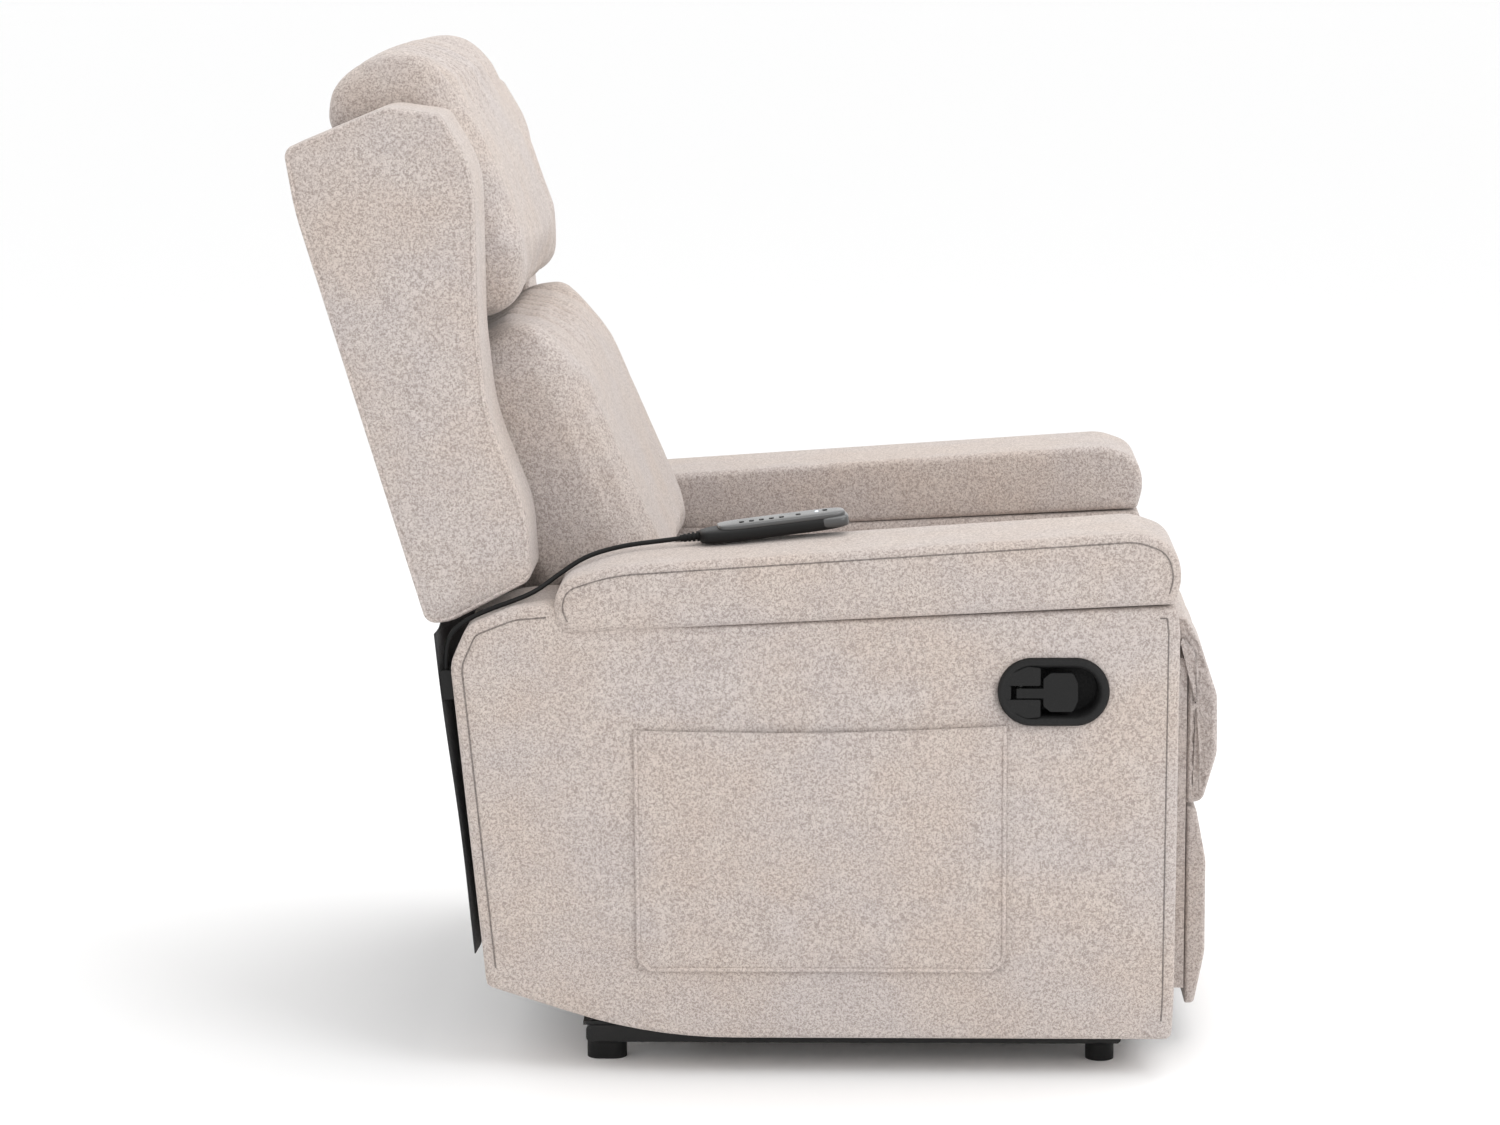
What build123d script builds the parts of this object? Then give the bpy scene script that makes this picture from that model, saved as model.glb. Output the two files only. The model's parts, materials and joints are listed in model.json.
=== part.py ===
from build123d import *
import math
import os

# A reclining massage chair, in millimetres. +X is the front, +Y the sitter's left, +Z up.
# The origin is on the floor, under the middle of the chair's box.
# Outlines are lists of (x, z, corner radius), drawn on the side of the chair.

# Overall layout across the chair
HALF_WIDTH = 379.0
PANEL_OUT = 372.0
PANEL_IN = 350.0
ARM_IN = 242.5
ARM_WALL = 20.0
WING_OUT = 345.0
WING_IN = 237.0
BACK_HALF = 234.0
PAD_HALF = 238.0

# Base, feet and the tilt hinge
RAIL_Y = 292.0
RAIL_WIDTH = 24.0
RAIL_LOW, RAIL_HIGH = 18.0, 36.0
RAIL_REAR, RAIL_FRONT = -186.0, 378.0
FOOT_FRONT_X, FOOT_REAR_X = 356.0, -164.5
FOOT_RADIUS = 15.0
REAR_FOOT_LENGTH, REAR_FOOT_WIDTH = 42.0, 28.0
CROSS_TUBE_RADIUS = 9.0
CROSS_TUBE_X = (340.0, -110.0)
TILT = (-165.0, 92.0)
TILT_PIN_RADIUS = 6.0
BRACKET_Y = (288.0, 296.0)
HINGE_PLAY = 0.05

# Arm: rear edge is a straight line from ARM_REAR_LOW to ARM_REAR_HIGH
ARM_REAR_LOW = (-284.0, 97.0)
ARM_REAR_HIGH = (-316.0, 438.0)
ARM_TOP_REAR = (-200.0, 470.0)
ARM_TOP_FRONT = (426.0, 500.0)
ARM_BOTTOM = 42.0
ARM_FRONT = 428.0

# Pad top, a straight slope under the handset
PAD_TOP_REAR = (-150.0, 540.0)
PAD_TOP_FRONT = (385.0, 574.0)
PAD_SLOPE = (PAD_TOP_FRONT[1] - PAD_TOP_REAR[1]) / (PAD_TOP_FRONT[0] - PAD_TOP_REAR[0])
PAD_ANGLE = math.degrees(math.atan(PAD_SLOPE))

# Backrest pivot and the straight front face of its rear shell
BACK = (-150.0, 300.0)
BACK_STUD_RADIUS = 5.0
SHELL_FOOT = (-322.0, 496.0)
SHELL_HEAD = (-443.0, 890.0)
POST_WIDTH = 28.0
POST_Y = (228.0, 236.0)

# Footrest: the board turns about FOLD, carried by two parallelograms of flat bars
FOLD = (434.0, 436.0)
REACH = (160.0, 60.0)
STEP = (50.0, 50.0)
ARM_DIRECTION = (-31.0, -250.0)
ARM_MIDDLE, ARM_END = 150.0, 260.0
BAR_WIDTH = 24.0
RIVET_RADIUS = 4.0
PLATE_Y = (238.5, 242.5)
LAYER_ARM = (232.0, 236.0)
LAYER_REACH = (226.0, 230.0)
BOARD_REAR, BOARD_FRONT = 436.0, 448.0

# Seat
SEAT_TUBE_RADIUS = 9.0
SEAT_TUBE_FRONT = (408.0, 381.0)
SEAT_TUBE_REAR = (-112.0, 381.0)
SPRING_COUNT = 5
SPRING_WIRE = 1.8
SPRING_HALF_WIDTH = 24.0
SPRING_PITCH = 26.0
SPRING_SPACING = 88.0

# Release lever in the right arm
LATCH = (301.5, 410.5)
BEZEL_LENGTH, BEZEL_HEIGHT = 114.0, 71.0
TUB_LENGTH, TUB_HEIGHT = 99.0, 56.0
TUB_WALL = 4.0
TUB_FLOOR_Y = -345.0
LEVER_PIN_X, LEVER_PIN_Y = 268.0, -368.0
LEVER_PIN_RADIUS = 2.0

# Side pocket on the right arm
POCKET_REAR, POCKET_FRONT = -126.0, 252.0
POCKET_LOW, POCKET_HIGH = 117.0, 370.0
POCKET_CLOTH = 1.8
POCKET_HEM = 8.0

# Handset, drawn flat and then laid on the right arm pad
HANDSET_X, HANDSET_Y = 14.0, -262.0
HANDSET_TURN = 8.0
HANDSET_LIFT = 2.4
HANDSET_LENGTH, HANDSET_WIDTH = 156.0, 50.0
HANDSET_BODY, HANDSET_COVER = 15.0, 4.0
HANDSET_CORNER = 20.0
COVER_EDGE = 3.0
BUTTON_RADIUS = 2.6
BUTTON_STAND = 1.0
BUTTON_TRAVEL = 0.8
BUTTON_PLACES = (
    (-33.0, -8.0), (-22.5, -8.0), (-12.0, -8.0), (-1.5, -8.0), (9.0, -8.0), (27.0, -5.0), (56.0, 2.0),
)
BOOT_LENGTH = 20.0
BOOT_RADIUS = 3.6
RIB_RADIUS, RIB_COUNT, RIB_PITCH = 5.4, 4, 4.6
CORD_HEIGHT = 9.0

# Handset cord
CORD_RADIUS = 2.5
CORD_LEAD = 22.0
GLAND_LOW, GLAND_HIGH = 400.0, 430.0
GLAND_SIZE = 12.0
CORD_Y = -358.0

nodes = {}


def side_face(outline):
    """A flat face from (x, z, corner radius) points."""
    points = [(x, z) for x, z, _ in outline]
    radii = [radius for _, _, radius in outline]
    return make_face(FilletPolyline(*points, radius=radii, close=True))


def between(face, y_low, y_high):
    """A face drawn on the chair's side, thickened from one y to the other."""
    return extrude(Plane.XZ.offset(-y_high) * face, amount=y_high - y_low)


def slab(outline, y_low, y_high):
    """An outline thickened from one y to the other."""
    return between(side_face(outline), y_low, y_high)


def rod(centre, radius, y_low, y_high):
    """A round rod along Y."""
    return between(Pos(centre[0], centre[1]) * Circle(radius), y_low, y_high)


def brick(x_range, y_range, z_range):
    """A plain box between two x, two y and two z."""
    size = [high - low for low, high in (x_range, y_range, z_range)]
    middle = [(high + low) / 2 for low, high in (x_range, y_range, z_range)]
    return Pos(*middle) * Box(*size)


def twin(shape):
    """A piece made for the left side, and its mirror image for the right side."""
    return Compound([shape, mirror(shape, about=Plane.XZ)])


def both_sides(name, shape):
    """Two nodes, left and right, from the left-hand shape."""
    nodes[name + "_left"] = shape
    nodes[name + "_right"] = mirror(shape, about=Plane.XZ)


def add(point, step, scale=1.0):
    """A point moved by a multiple of a step."""
    return (point[0] + step[0] * scale, point[1] + step[1] * scale)


def flat_bar(points, width, y_range, hole_radius):
    """A flat bar with round ends through a chain of pivots, and a hole at each."""
    face = None
    for start, end in zip(points, points[1:]):
        length = math.dist(start, end)
        angle = math.degrees(math.atan2(end[1] - start[1], end[0] - start[0]))
        middle = ((start[0] + end[0]) / 2, (start[1] + end[1]) / 2)
        piece = Pos(*middle) * Rot(0, 0, angle) * SlotCenterToCenter(length, width)
        face = piece if face is None else face + piece
    if hole_radius:
        for point in points:
            face = face - Pos(*point) * Circle(hole_radius)
    return between(face, *y_range)


def rear_x(z):
    """Where the arm's rear edge lies at a height."""
    share = (z - ARM_REAR_LOW[1]) / (ARM_REAR_HIGH[1] - ARM_REAR_LOW[1])
    return ARM_REAR_LOW[0] + share * (ARM_REAR_HIGH[0] - ARM_REAR_LOW[0])


def make_base():
    """Two floor rails, two cross tubes, four feet and the hinge brackets."""
    rail_z = (RAIL_LOW + RAIL_HIGH) / 2
    half = RAIL_WIDTH / 2
    rail = [(RAIL_REAR, RAIL_LOW, 5), (RAIL_FRONT, RAIL_LOW, 5)]
    rail += [(RAIL_FRONT, RAIL_HIGH, 5), (RAIL_REAR, RAIL_HIGH, 5)]
    both_sides("base_rail", slab(rail, RAIL_Y - half, RAIL_Y + half))
    reach = RAIL_Y - half
    tubes = [rod((x, rail_z), CROSS_TUBE_RADIUS, -reach, reach) for x in CROSS_TUBE_X]
    nodes["base_tube_front"], nodes["base_tube_rear"] = tubes
    foot = Pos(FOOT_FRONT_X, RAIL_Y) * extrude(Circle(FOOT_RADIUS), amount=RAIL_LOW)
    both_sides("front_foot", foot)
    oblong = SlotOverall(REAR_FOOT_LENGTH, REAR_FOOT_WIDTH)
    both_sides("rear_foot", Pos(FOOT_REAR_X, RAIL_Y) * extrude(oblong, amount=RAIL_LOW))
    foot_z = RAIL_HIGH + 20
    upright = flat_bar([(TILT[0], foot_z), TILT], 30.0, BRACKET_Y, 0)
    upright += brick((TILT[0] - 15, TILT[0] + 15), BRACKET_Y, (RAIL_HIGH, foot_z))
    upright += brick((TILT[0] - 24, TILT[0] + 24), (RAIL_Y - 10, RAIL_Y + 10), (RAIL_HIGH, RAIL_HIGH + 4))
    upright -= rod(TILT, TILT_PIN_RADIUS + HINGE_PLAY, BRACKET_Y[0] - 1, BRACKET_Y[1] + 1)
    both_sides("tilt_bracket", upright)
    wall = ARM_IN + ARM_WALL
    pin = rod(TILT, TILT_PIN_RADIUS, wall, BRACKET_Y[1] + 4)
    pin += rod(TILT, TILT_PIN_RADIUS + 8, wall, wall + 4)
    pin += rod(TILT, TILT_PIN_RADIUS + 4, BRACKET_Y[1] + 1, BRACKET_Y[1] + 4)
    nodes["tilt_pins"] = twin(pin)


def arm_outline():
    """Arched bottom, upright front, sloped top and a raised, rounded rear."""
    return [
        (*ARM_REAR_LOW, 6), (-114, ARM_BOTTOM, 900), (426, ARM_BOTTOM, 6), (ARM_FRONT, 90, 60),
        (ARM_FRONT + 2, 470, 60), (*ARM_TOP_FRONT, 3), (*ARM_TOP_REAR, 2), (-217, 500, 8),
        (-252, 496, 60), (-298, 478, 26), (*ARM_REAR_HIGH, 40),
    ]


def make_arms():
    """Each arm: a hollow inner box open below, an outer panel and a thick top pad."""
    outline = arm_outline()
    box = slab(outline, ARM_IN, PANEL_IN)
    hollow = [
        (-264, 20, 0), (410, 20, 0), (408, 477, 6), (-192, 450, 6), (-252, 470, 10), (-290, 435, 10),
    ]
    box -= slab(hollow, ARM_IN + ARM_WALL, PANEL_IN + 1)
    both_sides("arm_box", box)
    panel = slab(outline, PANEL_IN, PANEL_OUT)
    nodes["arm_panel_left"] = panel
    window = Pos(*LATCH) * SlotOverall(TUB_LENGTH, TUB_HEIGHT)
    right = mirror(panel, about=Plane.XZ)
    nodes["arm_panel_right"] = right - between(window, -PANEL_OUT - 1, -PANEL_IN + 1)
    pad = [
        (*ARM_TOP_REAR, 3), (*ARM_TOP_FRONT, 3), (433, 530, 22), (423, 561, 14), (*PAD_TOP_FRONT, 26),
        (*PAD_TOP_REAR, 60), (-204, 522, 16), (-212, 496, 8),
    ]
    both_sides("arm_pad", slab(pad, ARM_IN - 2.5, HALF_WIDTH))


def make_pocket():
    """A cloth pocket sewn to the right panel on three sides and open at the top."""
    outline = [
        (POCKET_REAR, POCKET_LOW, 10), (POCKET_FRONT, POCKET_LOW, 10),
        (POCKET_FRONT, POCKET_HIGH + 5, 2), (POCKET_REAR, POCKET_HIGH, 2),
    ]
    inner = [
        (POCKET_REAR + POCKET_HEM, POCKET_LOW + POCKET_HEM, 8),
        (POCKET_FRONT - POCKET_HEM, POCKET_LOW + POCKET_HEM, 8),
        (POCKET_FRONT - POCKET_HEM, POCKET_HIGH + 20, 0), (POCKET_REAR + POCKET_HEM, POCKET_HIGH + 20, 0),
    ]
    pocket = slab(outline, -HALF_WIDTH, -PANEL_OUT)
    nodes["side_pocket"] = pocket - slab(inner, -HALF_WIDTH + POCKET_CLOTH, -PANEL_OUT + 1)


def make_latch():
    """A shallow tub with a broad rim, and a paddle that swings out on an upright pin."""
    bezel = between(Pos(*LATCH) * SlotOverall(BEZEL_LENGTH, BEZEL_HEIGHT), -HALF_WIDTH, -PANEL_OUT)
    bezel += between(Pos(*LATCH) * SlotOverall(TUB_LENGTH - 0.4, TUB_HEIGHT - 0.4), -PANEL_OUT, TUB_FLOOR_Y)
    room = SlotOverall(TUB_LENGTH - 2 * TUB_WALL, TUB_HEIGHT - 2 * TUB_WALL)
    bezel -= between(Pos(*LATCH) * room, -HALF_WIDTH - 1, TUB_FLOOR_Y - TUB_WALL)
    half = 17.0
    pin = Cylinder(LEVER_PIN_RADIUS, 2 * half)
    nodes["lever_pin"] = Pos(LEVER_PIN_X, LEVER_PIN_Y, LATCH[1]) * pin
    lugs = brick((LEVER_PIN_X - 4, LEVER_PIN_X + 4), (LEVER_PIN_Y - 3, TUB_FLOOR_Y - TUB_WALL), (-2, 2))
    hole = Pos(LEVER_PIN_X, LEVER_PIN_Y, LATCH[1]) * Cylinder(LEVER_PIN_RADIUS, 80)
    for z in (LATCH[1] - half + 2, LATCH[1] + half - 2):
        bezel += Pos(0, 0, z) * lugs
    nodes["latch_bezel"] = bezel - hole
    barrel = Pos(LEVER_PIN_X, LEVER_PIN_Y, LATCH[1] - 3) * Cylinder(4.5, 16)
    z = LATCH[1]
    paddle = [
        (LEVER_PIN_X + 23, z - 14, 3), (LEVER_PIN_X + 30, z - 20, 4), (LEVER_PIN_X + 53, z - 20, 4),
        (LEVER_PIN_X + 58, z - 9, 3), (LEVER_PIN_X + 58, z + 9, 3), (LEVER_PIN_X + 53, z + 20, 4),
        (LEVER_PIN_X + 30, z + 20, 4), (LEVER_PIN_X + 23, z + 14, 3),
    ]
    lever = slab(paddle, -HALF_WIDTH + 1, -HALF_WIDTH + 7)
    lever += brick((LEVER_PIN_X, LEVER_PIN_X + 26), (-HALF_WIDTH + 1, -HALF_WIDTH + 6), (z - 6, z + 4))
    web = brick((LEVER_PIN_X - 4.4, LEVER_PIN_X + 4.4), (-HALF_WIDTH + 1, LEVER_PIN_Y), (z - 6, z + 4))
    lever += barrel + web
    play = Pos(LEVER_PIN_X, LEVER_PIN_Y, z) * Cylinder(LEVER_PIN_RADIUS + HINGE_PLAY, 80)
    nodes["release_lever"] = lever - play
    coil = Helix(pitch=1.6, height=4.8, radius=3.4, center=(LEVER_PIN_X, LEVER_PIN_Y, z + 6.5))
    wire = Plane(origin=coil @ 0, z_dir=coil % 0) * Circle(0.5)
    nodes["lever_spring"] = sweep(wire, path=coil, is_frenet=True)


def make_seat():
    """Seat tubes, sinuous springs and the seat cushion."""
    reach = PLATE_Y[0]
    nodes["seat_tube_front"] = rod(SEAT_TUBE_FRONT, SEAT_TUBE_RADIUS, -reach, reach)
    nodes["seat_tube_rear"] = rod(SEAT_TUBE_REAR, SEAT_TUBE_RADIUS, -reach, reach)
    cushion = [
        (-120, 392, 8), (424, 392, 10), (ARM_FRONT, 440, 25), (395, 462, 40),
        (-90, 451, 40), (-122, 425, 10),
    ]
    nodes["seat_cushion"] = slab(cushion, -ARM_IN + 0.5, ARM_IN - 0.5)
    start = SEAT_TUBE_REAR[0] + SEAT_TUBE_RADIUS + 0.3
    end = SEAT_TUBE_FRONT[0] - SEAT_TUBE_RADIUS - 0.3
    count = int((end - start) / SPRING_PITCH)
    pitch = (end - start) / count
    side = [SPRING_HALF_WIDTH * (1 if index % 2 else -1) for index in range(count)]
    points = [(start, 0), (start + pitch / 2, 0)]
    for index, y in enumerate(side[1:-1], start=1):
        points += [(start + index * pitch, y), (start + (index + 0.6) * pitch, y)]
    points += [(end - pitch / 2, 0), (end, 0)]
    path = FilletPolyline(*points, radius=4.5)
    wire = sweep(Plane(origin=path @ 0, z_dir=path % 0) * Circle(SPRING_WIRE), path=path)
    middle = (SPRING_COUNT - 1) / 2
    places = [(index - middle) * SPRING_SPACING for index in range(SPRING_COUNT)]
    nodes["seat_springs"] = Compound([Pos(0, y, SEAT_TUBE_FRONT[1]) * wire for y in places])


def make_backrest():
    """Rear shell, two posts, side wings, head and lumbar cushions and four motors."""
    shell = [
        (-340, 490, 4), (*SHELL_FOOT, 4), (*SHELL_HEAD, 60), (-452, 955, 6),
        (-470, 950, 8), (-462, 895, 60),
    ]
    nodes["back_shell"] = slab(shell, -WING_IN + 1, WING_IN - 1)
    wing = [
        (-343, 474, 14), (-470, 900, 300), (-480.4, 962, 14), (-374, 1006, 40), (-318, 998, 14),
        (-285, 940, 30), (-284, 780, 150), (-275, 690, 120), (-237, 590, 60), (-233, 520, 12),
        (-317, 476, 30),
    ]
    both_sides("wing", slab(wing, WING_IN, WING_OUT))
    head = [
        (-452, 978, 20), (-447, 1022, 36), (-388, 1057, 50), (-340, 1053, 40), (-278, 932, 60),
        (-247, 842, 40), (-249, 797, 14), (-264, 783, 10), (-302, 771, 8), (-346, 770, 4), (-394, 925, 30),
    ]
    nodes["head_cushion"] = slab(head, -BACK_HALF, BACK_HALF)
    lumbar = [
        (-238, 468, 12), (-290, 560, 60), (-341, 750, 4), (-300, 752, 6), (-262, 773, 8), (-241, 778, 12),
        (-196, 728, 90), (-128, 572, 80), (-95, 494, 20), (-108, 469, 10),
    ]
    nodes["lumbar_cushion"] = slab(lumbar, -BACK_HALF, BACK_HALF)
    run = (SHELL_HEAD[0] - SHELL_FOOT[0], SHELL_HEAD[1] - SHELL_FOOT[1])
    length = math.hypot(*run)
    up = (run[0] / length, run[1] / length)
    ahead = (up[1], -up[0])
    line = add(SHELL_FOOT, ahead, POST_WIDTH / 2)
    post = flat_bar([BACK, add(line, up, 34), add(line, up, 380)], POST_WIDTH, POST_Y, 0)
    post -= rod(BACK, BACK_STUD_RADIUS + HINGE_PLAY, POST_Y[0] - 1, POST_Y[1] + 1)
    both_sides("back_post", post)
    motors = []
    for height in (110, 270):
        for y in (-75, 75):
            base = add(SHELL_FOOT, up, height)
            seat = Plane(origin=(base[0], y, base[1]), z_dir=(ahead[0], 0, ahead[1]))
            motors.append(seat * extrude(Circle(32), amount=26))
            motors[-1] += seat * extrude(Circle(14), amount=32)
    nodes["massage_motors"] = Compound(motors)


def pivots():
    """Pivots of the footrest linkage when it is folded."""
    scale = 1 / math.hypot(*ARM_DIRECTION)
    places = {"arm_root": add(FOLD, REACH, -1)}
    places["arm_mid"] = add(places["arm_root"], ARM_DIRECTION, ARM_MIDDLE * scale)
    places["arm_end"] = add(places["arm_root"], ARM_DIRECTION, ARM_END * scale)
    places["guide_root"] = add(places["arm_root"], STEP, -1)
    places["guide_end"] = add(places["arm_mid"], STEP, -1)
    places["board_top"] = add(places["arm_mid"], REACH)
    places["board_low"] = add(places["arm_end"], REACH)
    return places


def stud(centre):
    """A stud set in a reach bar: it crosses the swing bar and ends in a round head."""
    shank = rod(centre, RIVET_RADIUS, LAYER_REACH[1], LAYER_ARM[1] + 1.5)
    return shank + rod(centre, RIVET_RADIUS + 3.5, LAYER_ARM[1] + 0.3, LAYER_ARM[1] + 1.5)


def make_footrest():
    """Side plates with studs, four kinds of bar, the board and its two pads."""
    at = pivots()
    hole = RIVET_RADIUS + HINGE_PLAY
    plate = [(-186, 276, 16), (-112, 276, 16), (214, 300, 20), (302, 350, 20), (302, 390, 6), (-186, 390, 6)]
    steel = slab(plate, *PLATE_Y)
    steel += rod(BACK, BACK_STUD_RADIUS, POST_Y[0] - 3, PLATE_Y[0])
    for name in ("arm_root", "guide_root"):
        steel += rod(at[name], RIVET_RADIUS, LAYER_ARM[0] - 1.5, PLATE_Y[0])
    both_sides("mechanism_plate", steel)
    nodes["guide_bars"] = twin(flat_bar([at["guide_root"], at["guide_end"]], BAR_WIDTH, LAYER_ARM, hole))
    arm = flat_bar([at["arm_root"], at["arm_mid"], at["arm_end"]], BAR_WIDTH, LAYER_ARM, hole)
    nodes["swing_bars"] = twin(arm)
    top = flat_bar([at["guide_end"], at["arm_mid"], at["board_top"]], BAR_WIDTH, LAYER_REACH, 0)
    top -= rod(at["board_top"], hole, LAYER_REACH[0] - 1, LAYER_REACH[1] + 1)
    nodes["top_bars"] = twin(top + stud(at["guide_end"]) + stud(at["arm_mid"]))
    low = flat_bar([at["arm_end"], at["board_low"]], BAR_WIDTH, LAYER_REACH, 0)
    low -= rod(at["board_low"], hole, LAYER_REACH[0] - 1, LAYER_REACH[1] + 1)
    nodes["low_bars"] = twin(low + stud(at["arm_end"]))
    ear = [
        (BOARD_REAR, 160, 0), (BOARD_REAR, 305, 0), (414, 303, 12), (400, 285, 10),
        (387, 180, 10), (396, 162, 10),
    ]
    ears = slab(ear, *LAYER_ARM)
    for name in ("board_top", "board_low"):
        ears += rod(at[name], RIVET_RADIUS, LAYER_REACH[0] - 1.5, LAYER_ARM[0])
    nodes["board_brackets"] = twin(ears)
    nodes["footrest_board"] = brick((BOARD_REAR, BOARD_FRONT), (-LAYER_ARM[1], LAYER_ARM[1]), (60, 418))
    pad = [(BOARD_FRONT, 42, 1), (459, 42, 6), (470, 100, 40)]
    pad += [(470, 200, 40), (459, 257, 6), (BOARD_FRONT, 257, 1)]
    nodes["footrest_pad"] = slab(pad, -PAD_HALF, PAD_HALF)
    roll = [(BOARD_FRONT, 262, 1), (460, 262, 6), (480, 320, 40)]
    roll += [(480, 385, 40), (466, 426, 12), (BOARD_FRONT, 426, 1)]
    nodes["calf_pad"] = slab(roll, -PAD_HALF, PAD_HALF)


def make_rear_cover():
    """A dark cover across the back of the body, below the backrest."""
    low, high, thick = 132.0, 348.0, 15.0
    outline = [(rear_x(low), low, 2), (rear_x(high), high, 2)]
    outline += [(rear_x(high) - thick, high, 5), (rear_x(low) - thick, low, 5)]
    nodes["rear_cover"] = slab(outline, -PANEL_OUT + 8, PANEL_OUT - 8)


def make_electrics():
    """Control box on the right arm's inner wall, with the power inlet behind."""
    box = brick((-100, 10), (-ARM_IN, -ARM_IN + 36), (190, 262))
    nodes["control_box"] = box
    axis = Plane(origin=(-100, -ARM_IN + 18, 226), z_dir=(-1, 0, 0))
    inlet = axis * extrude(Circle(7), amount=16)
    inlet -= axis * Pos(0, 0, 4) * extrude(Circle(4.5), amount=20)
    inlet += axis * Pos(0, 0, 3) * extrude(Circle(1), amount=11)
    nodes["power_inlet"] = inlet


def on_pad(shape):
    """A handset piece drawn flat, laid on the pad top, its front a little higher than the slope."""
    lift = PAD_TOP_REAR[1] + (HANDSET_X - PAD_TOP_REAR[0]) * PAD_SLOPE + 0.3
    lift += HANDSET_LENGTH / 2 * math.sin(math.radians(HANDSET_LIFT))
    turn = Rot(0, -PAD_ANGLE - HANDSET_LIFT, 0) * Rot(0, 0, HANDSET_TURN)
    return Pos(HANDSET_X, HANDSET_Y, lift) * turn * shape


def make_handset():
    """A low oblong body, a cover with holes, seven buttons and a ribbed boot."""
    body = extrude(RectangleRounded(HANDSET_LENGTH, HANDSET_WIDTH, HANDSET_CORNER), amount=HANDSET_BODY)
    length, width = HANDSET_LENGTH - 2 * COVER_EDGE, HANDSET_WIDTH - 2 * COVER_EDGE
    cover = extrude(RectangleRounded(length, width, HANDSET_CORNER - COVER_EDGE), amount=HANDSET_COVER)
    cover = Pos(0, 0, HANDSET_BODY) * cover
    top = HANDSET_BODY + HANDSET_COVER + BUTTON_STAND
    room = HANDSET_BODY - BUTTON_TRAVEL - 0.4
    for number, (x, y) in enumerate(BUTTON_PLACES, start=1):
        cover -= Pos(x, y, top / 2) * Cylinder(BUTTON_RADIUS + 0.15, top + 10)
        body -= Pos(x, y, room) * extrude(Circle(BUTTON_RADIUS + 0.15), amount=5)
        button = Pos(x, y, HANDSET_BODY) * extrude(Circle(BUTTON_RADIUS), amount=top - HANDSET_BODY)
        nodes["button_" + str(number)] = on_pad(button)
    nodes["handset_body"] = on_pad(body)
    nodes["handset_cover"] = on_pad(cover)
    back = Plane(origin=(-HANDSET_LENGTH / 2, 0, CORD_HEIGHT), z_dir=(-1, 0, 0))
    boot = back * extrude(Circle(BOOT_RADIUS), amount=BOOT_LENGTH)
    for rib in range(RIB_COUNT):
        disc = extrude(Circle(RIB_RADIUS - 0.35 * rib), amount=RIB_PITCH / 2)
        boot += back * Pos(0, 0, rib * RIB_PITCH) * disc
    nodes["cord_boot"] = on_pad(boot)


def cord_start(lead=0.0):
    """End of the boot, where the cord begins, or a point straight out of it."""
    point = on_pad(Pos(-HANDSET_LENGTH / 2 - BOOT_LENGTH - lead, 0, CORD_HEIGHT)).position
    return (point.X, point.Y, point.Z)


def cord_route():
    """From the boot along the pad, over the arm's rear and down into the gland."""
    end_x = rear_x(GLAND_HIGH) - GLAND_SIZE / 2
    return [
        cord_start(), cord_start(CORD_LEAD), (-131.6, -285, 548.3), (-152.8, -290.5, 544.9),
        (-171, -297, 540.6), (-187, -305, 534.5), (-208, -318, 521.5), (-230, -337, 507),
        (-254, -351, 499.5), (-279, -357, 491.5), (-302, CORD_Y, 480.5), (-316.5, CORD_Y, 467),
        (end_x, CORD_Y, 449), (end_x, CORD_Y, GLAND_HIGH),
    ]


def corner_radii(points):
    """Each arc as large as its two runs allow."""
    radii = []
    for before, here, after in zip(points, points[1:], points[2:]):
        first = Vector(*here) - Vector(*before)
        second = Vector(*after) - Vector(*here)
        turn = math.radians(first.get_angle(second))
        radii.append(0.45 * min(first.length, second.length) / math.tan(turn / 2))
    return radii


def make_cord():
    """The free stretch of the handset cord, and the gland it enters."""
    points = cord_route()
    radii = corner_radii(points)
    path = FilletPolyline(*points, radius=radii)
    tube = sweep(Plane(origin=path @ 0, z_dir=path % 0) * Circle(CORD_RADIUS), path=path)
    nodes["handset_cord"] = tube
    expected = math.pi * CORD_RADIUS**2 * path.length
    print("cord radii", [round(radius) for radius in radii], "length", round(path.length, 1))
    print("cord volume", round(tube.volume, 1), "section x length", round(expected, 1))
    low, high = GLAND_LOW, GLAND_HIGH
    gland = [
        (rear_x(low), low, 0), (rear_x(high), high, 0),
        (rear_x(high) - GLAND_SIZE, high, 3), (rear_x(low) - GLAND_SIZE, low, 3),
    ]
    nodes["cord_gland"] = slab(gland, CORD_Y - GLAND_SIZE / 2, CORD_Y + GLAND_SIZE / 2)


make_base()
make_arms()
make_pocket()
make_latch()
make_seat()
make_backrest()
make_footrest()
make_rear_cover()
make_electrics()
make_handset()
make_cord()

for node_name, node_shape in nodes.items():
    export_step(node_shape, "parts/" + node_name + ".step")

whole = Compound([solid for shape in nodes.values() for solid in shape.solids()]).bounding_box()
print(len(nodes), "nodes, box", whole.min, whole.max)
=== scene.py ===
# %% [markdown]
# A reclining massage chair, dressed around its own frame.
# The frame file holds the working parts: rails, hinges, bars, boards, latch and hand control.
# This lesson loads it, then makes what the eye meets: padding, cloth, cord, rims and finishes.
# Lengths are metres, +X is the chair's front, +Y the sitter's left and +Z is up.

# %% Load the frame
import bmesh
import bpy
import json
import math
import numpy as np
from mathutils import Matrix, Vector


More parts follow.
